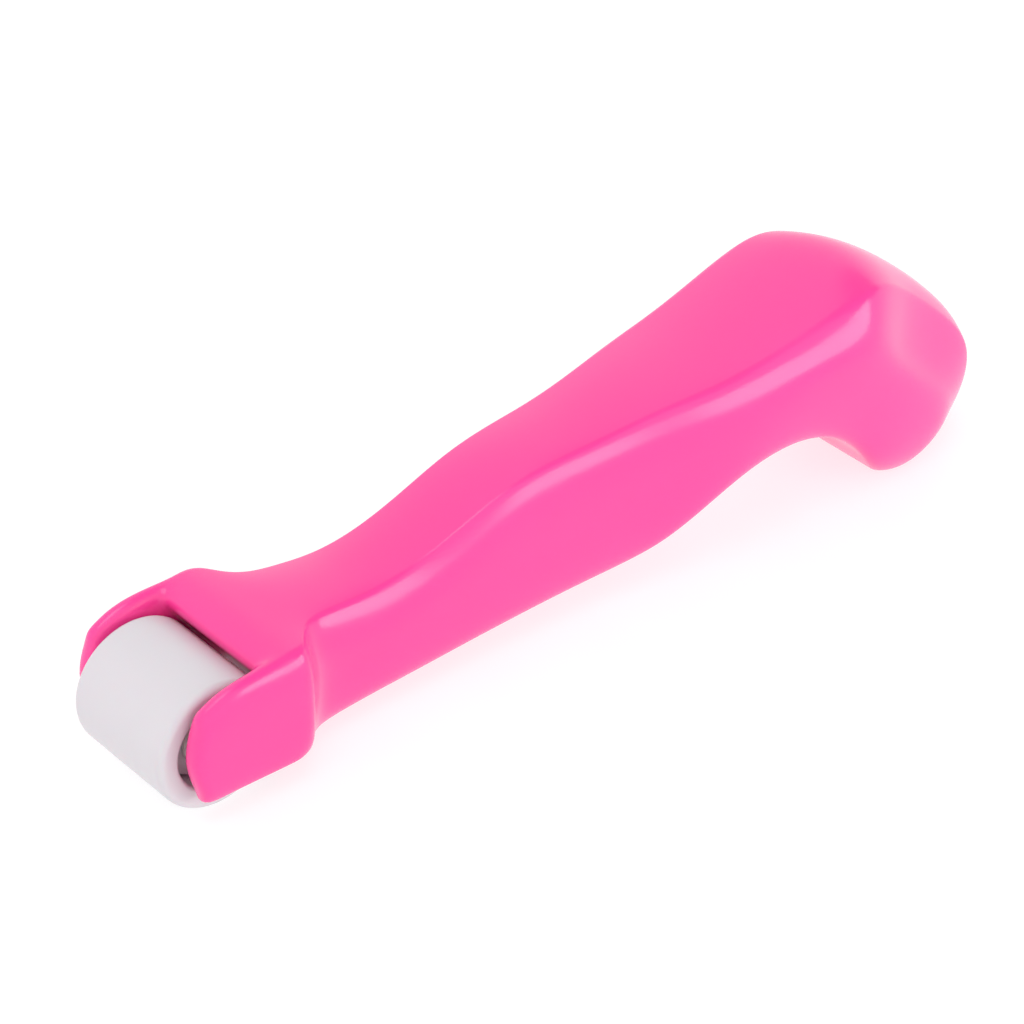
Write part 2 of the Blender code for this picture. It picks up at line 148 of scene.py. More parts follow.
# The camera: angles in degrees, where azimuth 0 looks along +Y; distance, and target from the drum's
# axis, in millimetres; lens and sensor in millimetres; clipping in metres
CAMERA_AZIMUTH = -40.614
CAMERA_ELEVATION = 33.765
CAMERA_ROLL = 0.801
CAMERA_DISTANCE = 520.717
CAMERA_TARGET = (61.763, 0.0, 17.731)
CAMERA_LENS = 123.05
CAMERA_SENSOR = 36.0
CAMERA_CLIP = (0.01, 20.0)

# Materials: the noise values that are spread over a whole range, depths of bumps and of light under
# the surface in metres, how dark steel's spots are, and its grain's stretch
NOISE_RANGE = (0.3, 0.7)
PLASTIC_BUMP = 0.0001
SUBSURFACE_RADIUS = (1.0, 0.25, 0.4)
SUBSURFACE_SCALE = 0.001
STEEL_SHADE = 0.82
STEEL_STRETCH = (1.0, 0.15, 1.0)
STEEL_BUMP = 0.00005
STEEL_BUMP_STRENGTH = 0.15

# Columns of the handle's cage, as parts of its half width, from the middle out
COLUMNS = (0.0, 0.33, 0.6, 0.8)

# The outermost column lies at this part of the width inside the rounded edge
COLUMN_LIMIT = 0.9

# Sections of the handle from the fork's web back to the hook's tip: underside x, z; top x, z;
# half widths low, middle and high; crown of the top; edge radii low and high
SECTIONS = (
    (10.2, 4.1, 8.8, 22.5, 14.8, 14.8, 14.8, 0.3, 1.0, 1.5),
    (11.6, 4.0, 11.0, 23.0, 14.8, 14.8, 14.8, 0.4, 1.2, 1.5),
    (13.8, 3.8, 13.7, 22.9, 14.5, 14.8, 14.7, 0.6, 2.0, 1.5),
    (15.4, 2.8, 15.5, 22.9, 12.0, 12.2, 12.0, 0.8, 2.0, 2.0),
    (18.5, 2.4, 18.5, 22.8, 9.3, 9.5, 9.7, 1.0, 2.0, 2.0),
    (23.5, 2.4, 23.5, 22.3, 8.6, 8.8, 9.2, 1.0, 2.0, 2.0),
    (30.5, 2.8, 30.5, 21.6, 8.5, 8.7, 8.9, 1.0, 2.0, 2.0),
    (38.5, 3.1, 38.5, 22.9, 8.4, 8.6, 8.8, 1.0, 2.0, 2.0),
    (46.5, 3.6, 46.5, 25.7, 8.4, 8.6, 8.9, 1.0, 2.0, 2.0),
    (54.5, 4.1, 54.5, 28.9, 8.5, 8.8, 9.0, 1.0, 2.0, 2.0),
    (62.5, 4.6, 62.5, 30.2, 8.7, 9.1, 9.3, 1.0, 2.0, 2.0),
    (70.5, 5.1, 70.5, 30.6, 9.1, 9.6, 9.8, 1.0, 2.0, 2.0),
    (78.0, 5.6, 78.5, 31.7, 9.7, 10.3, 10.6, 1.1, 2.0, 2.0),
    (84.0, 7.0, 86.0, 32.8, 10.8, 11.6, 11.8, 1.2, 2.0, 2.0),
    (89.5, 10.4, 92.5, 33.5, 12.2, 12.8, 12.9, 1.3, 2.0, 2.0),
    (95.5, 14.0, 99.0, 34.6, 13.2, 13.8, 13.5, 1.5, 2.0, 2.0),
    (102.0, 16.3, 107.0, 36.6, 13.6, 14.4, 14.1, 1.7, 2.0, 2.0),
    (109.5, 16.8, 117.0, 39.8, 13.8, 15.0, 15.6, 2.2, 2.0, 2.7),
    (116.0, 15.0, 126.5, 42.0, 13.9, 15.7, 16.2, 2.8, 2.0, 3.5),
    (121.0, 11.8, 137.5, 34.6, 13.9, 15.4, 12.1, 3.2, 2.0, 4.0),
    (124.5, 8.2, 147.9, 25.8, 13.8, 14.8, 10.7, 3.2, 2.0, 4.0),
    (127.0, 5.0, 157.2, 15.2, 13.2, 13.8, 10.4, 2.2, 2.0, 4.0),
    (129.7, 1.8, 152.2, 5.5, 11.6, 12.4, 9.6, 1.0, 2.0, 2.0),
    (132.3, 0.0, 140.3, 0.0, 9.2, 10.0, 9.0, 0.3, 1.5, 1.2),
)

# The web's hollow front, which clears the drum: x, z of its lip, middle and foot
WEB_FRONT = ((4.7, 20.6), (12.1, 13.5), (11.2, 5.6))

# Sections of a cheek of the fork, from the web forwards: x low, middle and high; z low and high;
# half width over the outer face, which turns in at the front
CHEEK_SECTIONS = (
    (3.2, 3.2, 3.0, 4.0, 22.1, 14.8),
    (-1.0, -1.0, -1.0, 4.0, 21.4, 14.8),
    (-3.3, -4.2, -3.3, 3.9, 20.3, 14.8),
    (-5.4, -7.7, -5.6, 4.3, 19.1, 14.7),
)
CHEEK_EDGE = 1.2

# The upper edge reaches this many times as far down the side as in over the top
EDGE_DROP = 2.3

# Where a cheek's flat top ends inwards, and how far its inner edge drops below the top
CHEEK_TOP_INNER = 12.2
CHEEK_LIP = 1.8

# The hollow: the first and last of SECTIONS that it runs through, and the heights that cutters reach
CAVITY_FIRST = 4
CAVITY_LAST = 19
POST_TOP = 45.0
MOUTH_TOP = 8.6
CUT_BELOW = -5.0


# ---- meshes
def place(x, y, z):
    """A point given in millimetres from the drum's axis, in the model's own frame."""
    return Vector(((x + AXLE_X) * MM, y * MM, z * MM))


def mesh_from(name, points, faces):
    mesh = bpy.data.meshes.new(name)
    mesh.from_pydata([place(*point) for point in points], [], faces)
    mesh.validate()
    return mesh


def short_lived(mesh):
    item = bpy.data.objects.new("short_lived", mesh)
    bpy.context.scene.collection.objects.link(item)
    return item


def evaluated_mesh(item, name):
    bpy.context.view_layer.update()
    depsgraph = bpy.context.evaluated_depsgraph_get()
    mesh = bpy.data.meshes.new_from_object(item.evaluated_get(depsgraph))
    mesh.name = name
    return mesh


def combined(mesh, tool, operation):
    """One mesh after a Boolean with another."""
    item = short_lived(mesh)
    cutter = short_lived(tool)
    modifier = item.modifiers.new("cut", "BOOLEAN")
    modifier.operation = operation
    modifier.object = cutter
    modifier.solver = "EXACT"
    result = evaluated_mesh(item, mesh.name)
    bpy.data.objects.remove(item, do_unlink=True)
    bpy.data.objects.remove(cutter, do_unlink=True)
    return result


def subdivided(mesh, levels):
    """A half mesh mirrored across the middle plane, and subdivided unless levels is 0."""
    item = short_lived(mesh)
    mirror = item.modifiers.new("mirror", "MIRROR")
    mirror.use_axis = (False, True, False)
    mirror.use_clip = True
    mirror.merge_threshold = 0.00001
    if levels:
        smooth = item.modifiers.new("subdivision", "SUBSURF")
        smooth.levels = levels
        smooth.render_levels = levels
    result = evaluated_mesh(item, mesh.name)
    bpy.data.objects.remove(item, do_unlink=True)
    return result


class Cage:
    """Points and faces of a half cage, built strip by strip."""

    def __init__(self):
        self.points = []
        self.faces = []

    def add(self, *point):
        self.points.append(point)
        return len(self.points) - 1

    def strip(self, first, second, closed=False):
        count = len(first)
        for i in range(count if closed else count - 1):
            j = (i + 1) % count
            self.faces.append((first[i], first[j], second[j], second[i]))


def section_points(section):
    """Half a section of the handle, from the middle of its underside round to the middle of its top."""
    low_x, low_z, top_x, top_z, low, middle, high, crown, low_edge, high_edge = section
    start = Vector((low_x, low_z))
    height = (Vector((top_x, top_z)) - start).length
    up = (Vector((top_x, top_z)) - start) / height

    def point(y, along):
        spot = start + up * along
        return (spot.x, y, spot.y)

    def top_height(y):
        return height - crown * (y / (high - high_edge)) ** 2

    def spaced(half_width, edge):
        """Columns across a width, the outermost kept inside its rounded edge."""
        outermost = min(COLUMNS[-1] * half_width, COLUMN_LIMIT * (half_width - edge))
        return [column / COLUMNS[-1] * outermost for column in COLUMNS]

    underside = [point(y, 0.0) for y in spaced(low, low_edge)]
    side = [
        point(low - low_edge, 0.0),
        point(low, low_edge),
        point(middle, height / 2),
        point(high, height - crown - high_edge * EDGE_DROP),
        point(high - high_edge, height - crown),
    ]
    top = [point(y, top_height(y)) for y in reversed(spaced(high, high_edge))]
    return underside + side + top


def cheek_points(section):
    """A section of a cheek: round its outside from the bottom to the top, then down its inside."""
    low_x, middle_x, high_x, low, high, outer = section
    middle = (low + high) / 2
    return [
        (low_x, COLUMNS[3] * outer, low),
        (low_x, outer - CHEEK_EDGE, low),
        (low_x, outer, low + CHEEK_EDGE),
        (middle_x, outer, middle),
        (high_x, outer, high - CHEEK_EDGE * EDGE_DROP),
        (high_x, outer - CHEEK_EDGE, high),
        (high_x, CHEEK_TOP_INNER, high),
        (high_x, FORK_GAP_HALF, high - CHEEK_LIP),
        (middle_x, FORK_GAP_HALF, middle),
        (low_x, FORK_GAP_HALF, low + CHEEK_EDGE),
    ]


def handle_cage():
    """Half of the handle's outside: sections, the hook's tip, the web's front and one cheek."""
    cage = Cage()
    rings = [[cage.add(*point) for point in section_points(section)] for section in SECTIONS]
    for ring, following in zip(rings, rings[1:]):
        cage.strip(ring, following)

    count = len(COLUMNS) + 1
    tip = rings[-1]
    cage.strip(tip[:count], tip[:-count - 1:-1])
    cage.faces.append((tip[count - 1],) + tuple(tip[count:-count + 1]))

    front = rings[0]
    inner = len(COLUMNS)
    rows = [front[:-inner - 1:-1]]
    for x, z in WEB_FRONT:
        across = [column * FORK_HALF_WIDTH for column in COLUMNS[:-1]] + [FORK_GAP_HALF]
        rows.append([cage.add(x, y, z) for y in across])
    rows.append(front[:inner])
    for row, following in zip(rows, rows[1:]):
        cage.strip(row, following)

    loop = list(front[inner - 1:-inner + 1]) + [row[-1] for row in rows[1:-1]]
    for section in CHEEK_SECTIONS:
        following = [cage.add(*point) for point in cheek_points(section)]
        cage.strip(following, loop, closed=True)
        loop = following
    cage.strip([loop[0]] + loop[:5:-1], loop[1:6])
    return cage


def cavity_cage():
    """Half of the handle's hollow: its sections a wall's thickness inside the skin."""
    cage = Cage()
    rings = []
    for section in SECTIONS[CAVITY_FIRST:CAVITY_LAST + 1]:
        low_x, low_z, top_x, top_z, low, middle, high, crown, low_edge, high_edge = section
        start = Vector((low_x, low_z))
        height = (Vector((top_x, top_z)) - start).length
        up = (Vector((top_x, top_z)) - start) / height
        ceiling = height - crown - WALL
        outline = (
            (0.0, WALL),
            (low - WALL - low_edge, WALL),
            (low - WALL, WALL + low_edge),
            (middle - WALL, height / 2),
            (high - WALL, ceiling - high_edge * EDGE_DROP),
            (high - WALL - high_edge, ceiling),
            (0.0, ceiling),
        )
        ring = []
        for y, along in outline:
            spot = start + up * along
            ring.append(cage.add(spot.x, y, spot.y))
        rings.append(ring)
    for ring, following in zip(rings, rings[1:]):
        cage.strip(ring, following)
    for ring, turned in ((rings[0], True), (rings[-1], False)):
        faces = [(ring[0], ring[1], ring[5], ring[6]), tuple(ring[1:6])]
        cage.faces.extend(tuple(reversed(face)) if turned else face for face in faces)
    return cage


def underside(x):
    """Height of the handle's underside at a distance from the drum's axis."""
    for before, after in zip(SECTIONS, SECTIONS[1:]):
        if before[0] <= x <= after[0]:
            share = (x - before[0]) / (after[0] - before[0])
            return before[1] + share * (after[1] - before[1])
    raise ValueError(x)


def turned_mesh(name, profile, steps=ROUND_STEPS, closed=False):
    """A turned piece about Z; the profile of (radius, height) runs down its outer side."""
    mesh = bpy.data.meshes.new(name)
    points = [(radius * MM, 0.0, height * MM) for radius, height in profile]
    edges = [(i, i + 1) for i in range(len(points) - 1)]
    if closed:
        edges.append((len(points) - 1, 0))
    mesh.from_pydata(points, edges, [])
    item = short_lived(mesh)
    screw = item.modifiers.new("screw", "SCREW")
    screw.steps = steps
    screw.render_steps = steps
    screw.use_merge_vertices = True
    screw.merge_threshold = 0.000001
    result = evaluated_mesh(item, name)
    bpy.data.objects.remove(item, do_unlink=True)
    return result


def upright(x, z=0.0):
    """Where a piece turned about Z stands on the middle plane."""
    return Matrix.Translation(place(x, 0.0, z))


def along_y(y, side):
    """Where a piece turned about Z lies on the drum's axis, its top towards +Y (side 1) or -Y (-1)."""
    return Matrix.Translation(place(0.0, y, DRUM_RADIUS)) @ Matrix.Rotation(-side * math.pi / 2, 4, "X")


def joined_mesh(name, placed):
    """One mesh of separate closed shapes, from (mesh, matrix) pairs."""
    work = bmesh.new()
    for mesh, matrix in placed:
        shape = mesh.copy()
        shape.transform(matrix)
        work.from_mesh(shape)
        bpy.data.meshes.remove(shape)
    mesh = bpy.data.meshes.new(name)
    work.to_mesh(mesh)
    work.free()
    return mesh


def arc(radius, middle_radius, middle_height, start, end, steps):
    """Points of a rounded edge of a profile, with its angles in degrees from the radial direction."""
    points = []
    for i in range(steps + 1):
        angle = math.radians(start + (end - start) * i / steps)
        points.append((middle_radius + radius * math.cos(angle), middle_height + radius * math.sin(angle)))
    return points


def stadium_mesh(name, start, end, half_width, bottom, top):
    """An upright prism with round ends, from an outline of two half circles."""
    outline = []
    for centre, first in ((end - half_width, -90), (start + half_width, 90)):
        for i in range(HALF_CIRCLE_STEPS + 1):
            angle = math.radians(first + 180 * i / HALF_CIRCLE_STEPS)
            outline.append((centre + half_width * math.cos(angle), half_width * math.sin(angle)))
    points = [(x, y, bottom) for x, y in outline] + [(x, y, top) for x, y in outline]
    size = len(outline)
    faces = [tuple(range(size - 1, -1, -1)), tuple(range(size, 2 * size))]
    faces += [(i, (i + 1) % size, size + (i + 1) % size, size + i) for i in range(size)]
    return mesh_from(name, points, faces)


def add_piece(name, mesh, body, material, nodes, matrix=None):
    """A visible piece that rides on a body and stands for CAD nodes."""
    if matrix is not None:
        mesh.transform(matrix)
    mesh.shade_smooth()
    mesh.set_sharp_from_angle(angle=math.radians(SHARP_ANGLE))
    mesh.materials.clear()
    mesh.materials.append(material)
    item = bpy.data.objects.new(name, mesh)
    bpy.context.scene.collection.objects.link(item)
    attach(item, body)
    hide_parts(*nodes)
    return item


# ---- handle, cover and screws
def hollow_mesh():
    """The handle's hollow, less the posts that stand in it for the screws."""
    cage = cavity_cage()
    hollow = subdivided(mesh_from("hollow", cage.points, cage.faces), 0)
    profile = [(0.0, POST_TOP), (POST_RADIUS, POST_TOP), (POST_RADIUS, POST_FLOOR), (0.0, POST_FLOOR)]
    post = turned_mesh("post", profile, SMALL_STEPS)
    posts = joined_mesh("posts", [(post, upright(x)) for x in SCREW_PLACES.values()])
    return combined(hollow, posts, "DIFFERENCE")


def hole_mesh():
    """The pin's sockets and the screws' stepped holes."""
    bore = [
        (0.0, PIN_HALF_LENGTH + GAP),
        (PIN_RADIUS + GAP, PIN_HALF_LENGTH + GAP),
        (PIN_RADIUS + GAP, BOSS_END - SOCKET_OVERCUT),
        (0.0, BOSS_END - SOCKET_OVERCUT),
    ]
    socket = turned_mesh("socket", bore, SMALL_STEPS)
    placed = [(socket, along_y(0.0, side)) for side in (-1, 1)]
    for x in SCREW_PLACES.values():
        base = underside(x) + SCREW_SINK
        step = base + SCREW_HEAD_HEIGHT + GAP
        tip = base + SCREW_LENGTH + GAP
        profile = [
            (0.0, tip),
            (SCREW_RADIUS + GAP, tip),
            (SCREW_RADIUS + GAP, step),
            (SCREW_HEAD_RADIUS + GAP, step),
            (SCREW_HEAD_RADIUS + GAP, CUT_BELOW),
            (0.0, CUT_BELOW),
        ]
        placed.append((turned_mesh("hole", profile, SMALL_STEPS), upright(x)))
    return joined_mesh("holes", placed)


def skin_mesh():
    cage = handle_cage()
    return subdivided(mesh_from("skin", cage.points, cage.faces), SKIN_LEVELS)


def add_handle(material, hollow, holes):
    """The hollow moulding of grip, hook and fork, with its mouth and the pin's bosses."""
    mesh = combined(skin_mesh(), hollow.copy(), "DIFFERENCE")
    mouth = stadium_mesh("mouth", COVER_START, COVER_END, COVER_HALF_WIDTH, CUT_BELOW, MOUTH_TOP)
    mesh = combined(mesh, mouth, "DIFFERENCE")
    root = FORK_GAP_HALF + BOSS_ROOT
    profile = [(0.0, root), (BOSS_RADIUS, root), (BOSS_RADIUS, BOSS_END + BOSS_ROUND)]
    profile += arc(BOSS_ROUND, BOSS_RADIUS - BOSS_ROUND, BOSS_END + BOSS_ROUND, 0, -90, FINE_STEPS)
    profile.append((0.0, BOSS_END))
    boss = turned_mesh("boss", profile, SMALL_STEPS)
    bosses = joined_mesh("bosses", [(boss, along_y(0.0, side)) for side in (-1, 1)])
    mesh = combined(mesh, bosses, "UNION")
    mesh = combined(mesh, holes.copy(), "DIFFERENCE")
    return add_piece("handle_moulding", mesh, "handle", material, ["handle_shell"])


def add_cover(material, hollow, holes):
    """The plate in the handle's underside, with its stepped bosses for the screws."""
    inset = COVER_HALF_WIDTH - GAP
    mesh = stadium_mesh("cover", COVER_START + GAP, COVER_END - GAP, inset, CUT_BELOW, MOUTH_TOP)
    mesh = combined(mesh, skin_mesh(), "INTERSECT")
    mesh = combined(mesh, hollow.copy(), "DIFFERENCE")
    mesh = combined(mesh, holes.copy(), "DIFFERENCE")
    placed = []
    top = POST_FLOOR - GAP
    bore = SCREW_RADIUS + GAP
    head_bore = SCREW_HEAD_RADIUS + GAP + BOSS_STEP
    for x in SCREW_PLACES.values():
        foot = underside(x) + WALL / 2
        step = underside(x) + SCREW_SINK + SCREW_HEAD_HEIGHT + GAP
        profile = [
            (bore, top),
            (POST_RADIUS, top),
            (POST_RADIUS, foot),
            (head_bore, foot),
            (head_bore, step),
            (bore, step),
        ]
        placed.append((turned_mesh("cover_boss", profile, SMALL_STEPS, closed=True), upright(x)))
    mesh = combined(mesh, joined_mesh("cover_bosses", placed), "UNION")
    return add_piece("cover_plate", mesh, "handle", material, ["underside_cover"])


def slot_mesh(turn):
    """One arm of a cross recess, narrower at its bottom, which is at the top as the screw stands."""
    work = bmesh.new()
    bmesh.ops.create_cube(work, size=1.0)
    for vert in work.verts:
        length, width, height = RECESS_BOTTOM if vert.co.z > 0 else RECESS_MOUTH
        vert.co = Vector((vert.co.x * length, vert.co.y * width, height)) * MM
    mesh = bpy.data.meshes.new("slot")
    work.to_mesh(mesh)
    work.free()
    mesh.transform(Matrix.Rotation(turn, 4, "Z"))
    return mesh


def add_screws(material):
    """Self-tapping screws with domed cross heads, their threads as fine rings."""
    head = SCREW_HEAD_RADIUS
    neck = SCREW_HEAD_HEIGHT
    profile = [(0.0, SCREW_LENGTH), (TIP_RADIUS, SCREW_LENGTH - TIP_CHAMFER)]
    for i in range(THREAD_COUNT):
        height = SCREW_LENGTH - THREAD_START - i * THREAD_PITCH
        profile.append((THREAD_ROOT, height))
        profile.append((SCREW_RADIUS, height - THREAD_PITCH * THREAD_CREST))
        profile.append((THREAD_ROOT, height - THREAD_PITCH * THREAD_FOOT))
    profile += [(SCREW_RADIUS, neck + NECK_FILLET), (SCREW_RADIUS + NECK_FILLET, neck)]
    profile += arc(TRIM_ROUND, head - TRIM_ROUND, neck - TRIM_ROUND, 90, 0, TRIM_STEPS)
    profile += arc(DOME_ROUND, head - DOME_ROUND, DOME_HEIGHT, 0, DOME_ANGLE, DOME_STEPS)
    profile += [(DOME_FLAT, 0.0), (0.0, 0.0)]
    screw = turned_mesh("screw", profile, SMALL_STEPS)
    for turn in (0.0, math.pi / 2):
        screw = combined(screw, slot_mesh(turn), "DIFFERENCE")
    for label, x in SCREW_PLACES.items():
        where = upright(x, underside(x) + SCREW_SINK)
        turned = where @ Matrix.Rotation(math.radians(SCREW_TURN + x), 4, "Z")
        add_piece("screw_" + label, screw.copy(), "handle", material, ["cover_screw_" + label], turned)


# ---- drum and pin
def add_drum(plastic, nylon):
    """The smooth tube, and at each end its cap with hub, the flanged bush and the washer outside it."""
    width = DRUM_HALF_WIDTH
    inner = DRUM_RADIUS - DRUM_WALL
    centre = width - DRUM_EDGE
    lip = width - DRUM_LIP
    profile = arc(DRUM_EDGE, DRUM_RADIUS - DRUM_EDGE, centre, 90, 0, RIM_STEPS)
    profile += arc(DRUM_EDGE, DRUM_RADIUS - DRUM_EDGE, -centre, 0, -90, RIM_STEPS)
    profile += arc(DRUM_LIP, inner + DRUM_LIP, -lip, -90, -180, LIP_STEPS)
    profile += arc(DRUM_LIP, inner + DRUM_LIP, lip, 180, 90, LIP_STEPS)
    sleeve = turned_mesh("sleeve", profile, closed=True)
    add_piece("drum_tube", sleeve, "roller", plastic, ["drum_sleeve"], along_y(0.0, 1))

    edge = TRIM_ROUND
    rim = inner - GAP
    bore = BUSH_RADIUS + GAP
    cap = [(bore, 0.0)]
    cap += arc(edge, rim - edge, -edge, 90, 0, TRIM_STEPS)
    cap += [(rim, -CAP_THICKNESS), (HUB_RADIUS, -CAP_THICKNESS)]
    cap += [(HUB_RADIUS, -HUB_LENGTH), (bore, -HUB_LENGTH)]
    top = GAP + BUSH_FLANGE
    pin_bore = PIN_RADIUS + GAP
    bush = [(pin_bore, top)]
    bush += arc(edge, BUSH_FLANGE_RADIUS - edge, top - edge, 90, 0, TRIM_STEPS)
    bush += [(BUSH_FLANGE_RADIUS, GAP), (BUSH_RADIUS, GAP)]
    bush += [(BUSH_RADIUS, -HUB_LENGTH), (pin_bore, -HUB_LENGTH)]
    small = WASHER_ROUND
    washer = [(pin_bore, WASHER_THICKNESS)]
    washer += arc(small, WASHER_RADIUS - small, WASHER_THICKNESS - small, 90, 0, FINE_STEPS)
    washer += arc(small, WASHER_RADIUS - small, small, 0, -90, FINE_STEPS)
    washer += [(pin_bore, 0.0)]
    pieces = (
        ("end_cap_", "drum_end_cap_", cap, CAP_FACE, "roller", plastic),
        ("bush_", "drum_bush_", bush, CAP_FACE, "roller", nylon),
        ("washer_", "thrust_washer_", washer, CAP_FACE + 2 * GAP + BUSH_FLANGE, "handle", nylon),
    )
    for name, node, outline, distance, body, material in pieces:
        shape = turned_mesh(name, outline, closed=True)
        for label, side in (("left", -1), ("right", 1)):
            where = along_y(side * distance, side)
            add_piece(name + label, shape.copy(), body, material, [node + label], where)


def add_pin(material):
    end = PIN_HALF_LENGTH
    chamfer = PIN_CHAMFER
    profile = [
        (0.0, end),
        (PIN_RADIUS - chamfer, end),
        (PIN_RADIUS, end - chamfer),
        (PIN_RADIUS, chamfer - end),
        (PIN_RADIUS - chamfer, -end),
        (0.0, -end),
    ]
    add_piece("pin", turned_mesh("pin", profile), "handle", material, ["axle_pin"], along_y(0.0, 1))


# ---- materials
def add_noise(nodes, links, place_output, scale, detail):
    noise = nodes.new("ShaderNodeTexNoise")
    noise.inputs["Scale"].default_value = scale
    noise.inputs["Detail"].default_value = detail
    links.new(place_output, noise.inputs["Vector"])
    return noise.outputs["Fac"]


def add_range(nodes, links, value, low, high):
    spread = nodes.new("ShaderNodeMapRange")
    spread.inputs["From Min"].default_value = NOISE_RANGE[0]
    spread.inputs["From Max"].default_value = NOISE_RANGE[1]
    spread.inputs["To Min"].default_value = low
    spread.inputs["To Max"].default_value = high
    links.new(value, spread.inputs["Value"])
    return spread.outputs["Result"]


def moulded_plastic(name, colours, roughness, mottle, texture, subsurface):
    """A moulded plastic: faint mottling, uneven gloss, and the fine orange peel of the mould.

    Mottle is the mottling's scale, and texture is the orange peel's scale and strength.
    """
    material = bpy.data.materials.new(name + LOOK)
    material.use_nodes = True
    nodes = material.node_tree.nodes
    links = material.node_tree.links
    shader = nodes["Principled BSDF"]
    where = nodes.new("ShaderNodeTexCoord").outputs["Object"]

    mix = nodes.new("ShaderNodeMix")
    mix.data_type = "RGBA"
    patches = add_noise(nodes, links, where, mottle, 3.0)
    links.new(add_range(nodes, links, patches, 0.0, 1.0), mix.inputs["Factor"])
    mix.inputs["A"].default_value = (*colours[0], 1.0)
    mix.inputs["B"].default_value = (*colours[1], 1.0)
    links.new(mix.outputs["Result"], shader.inputs["Base Color"])

    gloss = add_noise(nodes, links, where, mottle * 3, 4.0)
    links.new(add_range(nodes, links, gloss, *roughness), shader.inputs["Roughness"])

    bump = nodes.new("ShaderNodeBump")
    bump.inputs["Strength"].default_value = texture[1]
    bump.inputs["Distance"].default_value = PLASTIC_BUMP
    links.new(add_noise(nodes, links, where, texture[0], 2.0), bump.inputs["Height"])
    links.new(bump.outputs["Normal"], shader.inputs["Normal"])
    shader.inputs["Subsurface Weight"].default_value = subsurface
    shader.inputs["Subsurface Radius"].default_value = SUBSURFACE_RADIUS
    shader.inputs["Subsurface Scale"].default_value = SUBSURFACE_SCALE
    return material


def ground_steel(name, colour, roughness, grain):
    """Steel with a fine turned grain and slightly uneven polish."""
    material = bpy.data.materials.new(name + LOOK)
    material.use_nodes = True
    nodes = material.node_tree.nodes
    links = material.node_tree.links
    shader = nodes["Principled BSDF"]
    shader.inputs["Metallic"].default_value = 1.0
    where = nodes.new("ShaderNodeTexCoord").outputs["Object"]

    mix = nodes.new("ShaderNodeMix")
    mix.data_type = "RGBA"
    spots = add_noise(nodes, links, where, grain / 4, 4.0)
    links.new(add_range(nodes, links, spots, 0.0, 1.0), mix.inputs["Factor"])
    mix.inputs["A"].default_value = (*colour, 1.0)
    mix.inputs["B"].default_value = (*[part * STEEL_SHADE for part in colour], 1.0)
    links.new(mix.outputs["Result"], shader.inputs["Base Color"])

    stretch = nodes.new("ShaderNodeMapping")
    stretch.inputs["Scale"].default_value = STEEL_STRETCH
    links.new(where, stretch.inputs["Vector"])
    lines = add_noise(nodes, links, stretch.outputs["Vector"], grain, 3.0)
    links.new(add_range(nodes, links, lines, *roughness), shader.inputs["Roughness"])
    bump = nodes.new("ShaderNodeBump")
    bump.inputs["Strength"].default_value = STEEL_BUMP_STRENGTH
    bump.inputs["Distance"].default_value = STEEL_BUMP
    links.new(lines, bump.inputs["Height"])
    links.new(bump.outputs["Normal"], shader.inputs["Normal"])
    return material


# ---- studio
def add_floor():
    """A plain pale floor that glows a little, much wider than the view."""
    work = bmesh.new()
    bmesh.ops.create_grid(work, x_segments=2, y_segments=2, size=FLOOR_SIZE)
    mesh = bpy.data.meshes.new("floor")
    work.to_mesh(mesh)
    work.free()
    material = bpy.data.materials.new("paper_floor")
    material.use_nodes = True
    nodes = material.node_tree.nodes
    links = material.node_tree.links
    shader = nodes["Principled BSDF"]
    where = nodes.new("ShaderNodeTexCoord").outputs["Object"]
    mix = nodes.new("ShaderNodeMix")
    mix.data_type = "RGBA"
    patches = add_noise(nodes, links, where, FLOOR_MOTTLE, 2.0)
    links.new(add_range(nodes, links, patches, 0.0, 1.0), mix.inputs["Factor"])
    for name, grey in zip("AB", FLOOR_GREYS):
        mix.inputs[name].default_value = (grey, grey, grey, 1.0)
    links.new(mix.outputs["Result"], shader.inputs["Base Color"])
    shader.inputs["Roughness"].default_value = 0.9
    shader.inputs["Specular IOR Level"].default_value = 0.1
    shader.inputs["Emission Color"].default_value = (1.0, 1.0, 1.0, 1.0)
    shader.inputs["Emission Strength"].default_value = FLOOR_GLOW
    mesh.materials.append(material)
    floor = bpy.data.objects.new("floor", mesh)
    bpy.context.scene.collection.objects.link(floor)


def direction_at(azimuth, elevation):
    """The unit direction at an azimuth from +X towards +Y and an elevation, both in degrees."""
    turn = math.radians(azimuth)
    rise = math.radians(elevation)
    return (math.cos(turn) * math.cos(rise), math.sin(turn) * math.cos(rise), math.sin(rise))


def aimed(position, target):
    """Where something at a position stands when it faces a target."""
    direction = (Vector(target) - Vector(position)).to_track_quat("-Z", "Y")
    return Matrix.Translation(position) @ direction.to_matrix().to_4x4()


def add_softbox(name, azimuth, elevation, distance, size, luminance):
    """A rectangular light that faces the object; luminance is what its face shows."""
    direction = Vector(direction_at(azimuth, elevation))
    light = bpy.data.lights.new(name, "AREA")
    light.shape = "RECTANGLE"
    light.size = size[0]
    light.size_y = size[1]
    light.energy = luminance * math.pi * size[0] * size[1]
    item = bpy.data.objects.new(name, light)
    item.matrix_world = aimed(LIGHTS_AIM + direction * distance, LIGHTS_AIM)
    bpy.context.scene.collection.objects.link(item)


